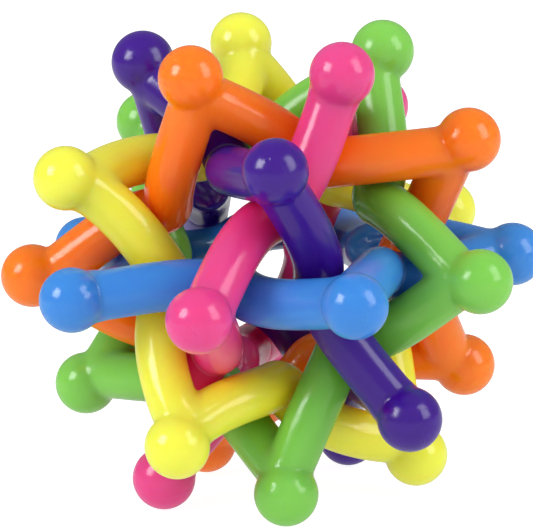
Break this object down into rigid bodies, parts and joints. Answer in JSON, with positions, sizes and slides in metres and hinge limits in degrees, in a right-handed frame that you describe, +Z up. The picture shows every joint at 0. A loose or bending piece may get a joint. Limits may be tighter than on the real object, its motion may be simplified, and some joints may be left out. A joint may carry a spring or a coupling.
{
  "type": "woven knob ball",
  "caption": "Springy hand ball woven from interlinked star-shaped bands in different colours, with round knobs standing out all over it.",
  "frame": {"origin": "centre of the ball", "axes": "+Z up along the axis of the level blue band, with the ball standing on five knobs; +X points to the green band's knob at the height of the centre"},
  "size_m": [0.1, 0.0961, 0.0882],
  "materials": {
    "blue_plastic": "glossy, slightly soft",
    "green_plastic": "glossy, slightly soft",
    "yellow_plastic": "glossy, slightly soft",
    "purple_plastic": "glossy, slightly soft",
    "orange_plastic": "glossy, slightly soft",
    "pink_plastic": "glossy, slightly soft"
  },
  "bodies": {
    "blue_band": {"blue_ring": "blue_plastic"},
    "green_band": {"green_ring": "green_plastic"},
    "yellow_band": {"yellow_ring": "yellow_plastic"},
    "purple_band": {"purple_ring": "purple_plastic"},
    "orange_band": {"orange_ring": "orange_plastic"},
    "pink_band": {"pink_ring": "pink_plastic"}
  },
  "joints": [
    {"name": "green_turn", "type": "hinge", "parent": "blue_band", "child": "green_band", "pos_m": [0, 0, 0], "axis": [0, -0.8944, 0.4472], "range_deg": [-0.7, 0.7]},
    {"name": "yellow_turn", "type": "hinge", "parent": "blue_band", "child": "yellow_band", "pos_m": [0, 0, 0], "axis": [0.8507, -0.2764, 0.4472], "range_deg": [-0.7, 0.7]},
    {"name": "purple_turn", "type": "hinge", "parent": "blue_band", "child": "purple_band", "pos_m": [0, 0, 0], "axis": [0.5257, 0.7236, 0.4472], "range_deg": [-0.7, 0.7]},
    {"name": "orange_turn", "type": "hinge", "parent": "blue_band", "child": "orange_band", "pos_m": [0, 0, 0], "axis": [-0.5257, 0.7236, 0.4472], "range_deg": [-0.7, 0.7]},
    {"name": "pink_turn", "type": "hinge", "parent": "blue_band", "child": "pink_band", "pos_m": [0, 0, 0], "axis": [-0.8507, -0.2764, 0.4472], "range_deg": [-0.7, 0.7]}
  ]
}
